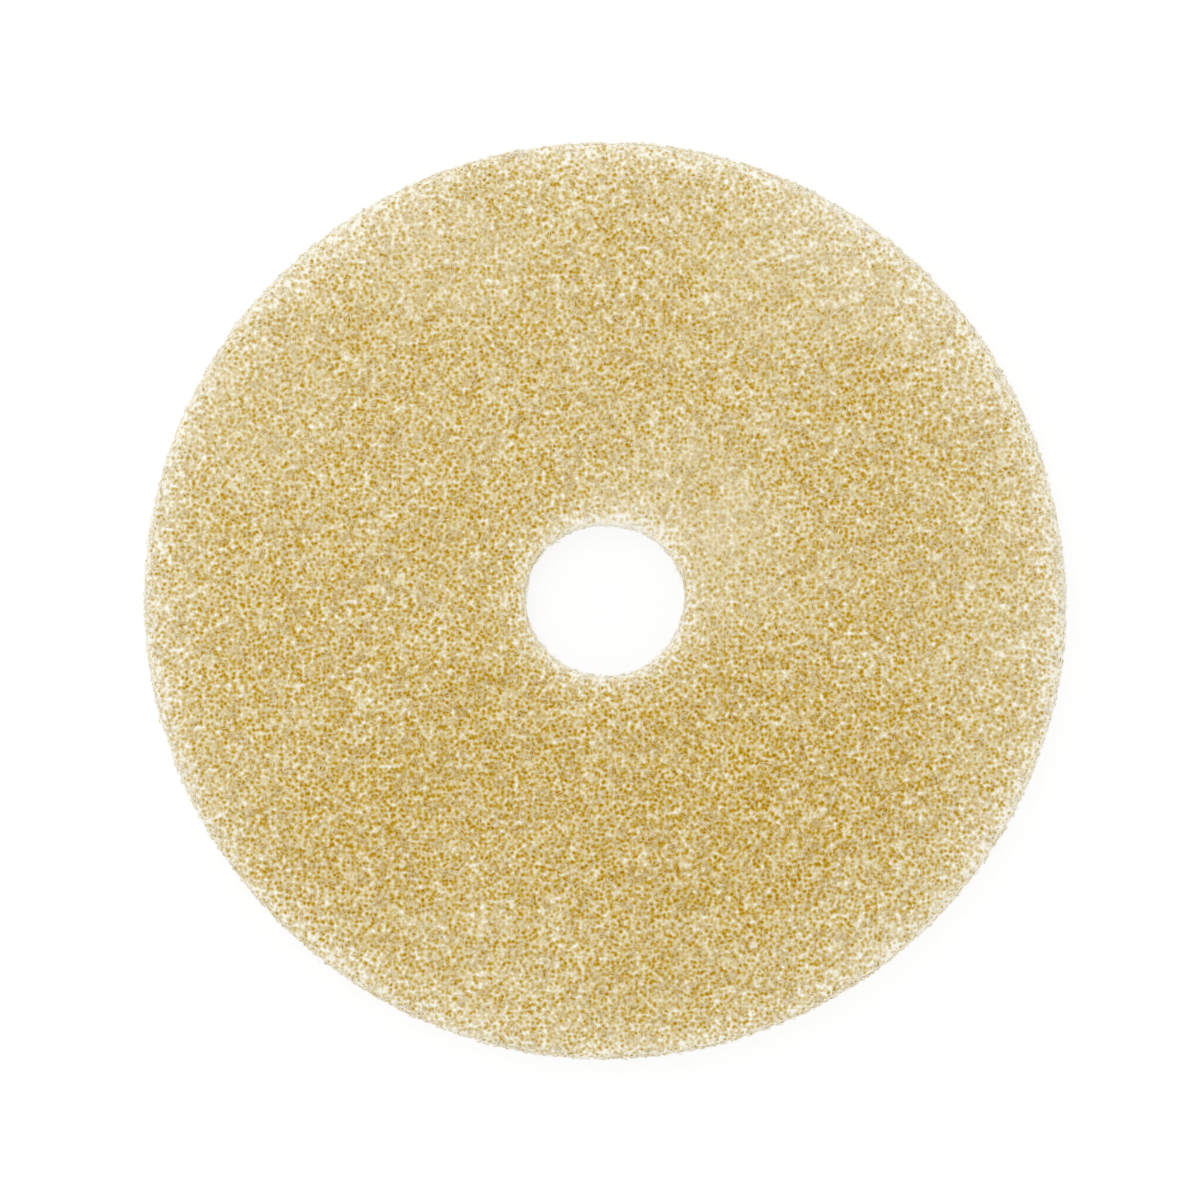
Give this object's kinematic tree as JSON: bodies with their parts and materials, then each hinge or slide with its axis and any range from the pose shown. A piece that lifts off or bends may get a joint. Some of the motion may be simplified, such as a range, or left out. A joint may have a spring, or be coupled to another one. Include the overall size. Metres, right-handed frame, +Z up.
{
  "type": "felt polishing disc",
  "caption": "Round, thick non-woven fibre polishing disc for a floor machine, with a plain hole in the middle and soft cut edges.",
  "frame": {"origin": "on the floor under the middle of the hole, at the centre of the bottom of the disc's box", "axes": "+Z up, through the thickness and along the hole; +X along the slightly longer way across the disc, to the right in the picture"},
  "size_m": [0.5095, 0.5072, 0.025],
  "materials": {
    "bonded_fibre": "matte, lofty, mottled golden beige fibre"
  },
  "bodies": {
    "root": {"polishing_disc": "bonded_fibre"}
  },
  "joints": []
}
